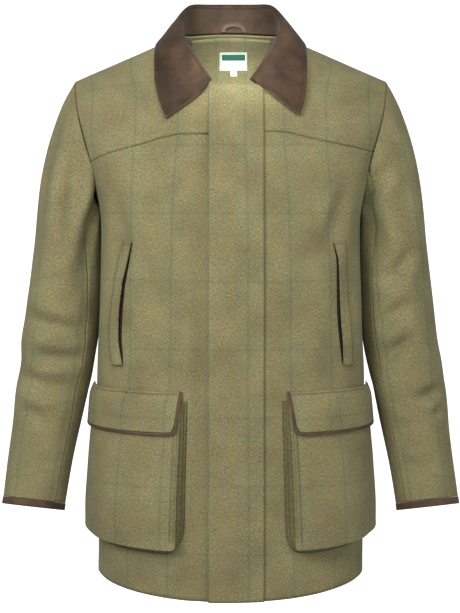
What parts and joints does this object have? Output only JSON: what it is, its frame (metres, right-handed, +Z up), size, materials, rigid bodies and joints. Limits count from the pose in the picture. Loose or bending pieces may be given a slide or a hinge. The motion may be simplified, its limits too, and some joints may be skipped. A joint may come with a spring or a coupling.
{
  "type": "field coat",
  "caption": "Hip-length tweed field coat, filled out as worn, with leather collar and trims, storm placket, slanted hand-warmer pockets and flapped bellows pockets.",
  "frame": {"origin": "on the shoulders, midway between the two side neck points, at the level where the back neck seam meets the neck's middle plane", "axes": "+Z up along the wearer's height, -Y out of the coat's front, +X to the wearer's left"},
  "size_m": [0.7044, 0.3239, 0.8967],
  "materials": {
    "tweed": "woven sage tweed with a rust and slate overcheck, matt and slightly hairy",
    "collar_leather": "brown nubuck leather, matt with a soft nap",
    "leather_trim": "dark brown leather binding, low sheen",
    "woven_label": "white woven label tape with a green band, bare of text"
  },
  "bodies": {
    "root": {"back": "tweed", "front_right": "tweed", "front_left": "tweed", "yoke_right": "tweed", "yoke_left": "tweed", "placket": "tweed", "sleeve_top_right": "tweed", "sleeve_under_right": "tweed", "sleeve_top_left": "tweed", "sleeve_under_left": "tweed", "cuff_binding_right": "leather_trim", "cuff_binding_left": "leather_trim", "collar_leaf": "collar_leather", "collar_stand": "collar_leather", "under_collar": "tweed", "neck_facing": "tweed", "label": "woven_label", "size_tab": "woven_label", "hanger_loop": "leather_trim", "welt_right": "tweed", "welt_left": "tweed", "pocket_panel_right": "tweed", "pocket_panel_left": "tweed", "pocket_gusset_right": "tweed", "pocket_gusset_left": "tweed", "flap_right": "tweed", "flap_left": "tweed", "flap_binding_right": "leather_trim", "flap_binding_left": "leather_trim", "bar_tack_right": "leather_trim", "bar_tack_left": "leather_trim"}
  },
  "joints": []
}
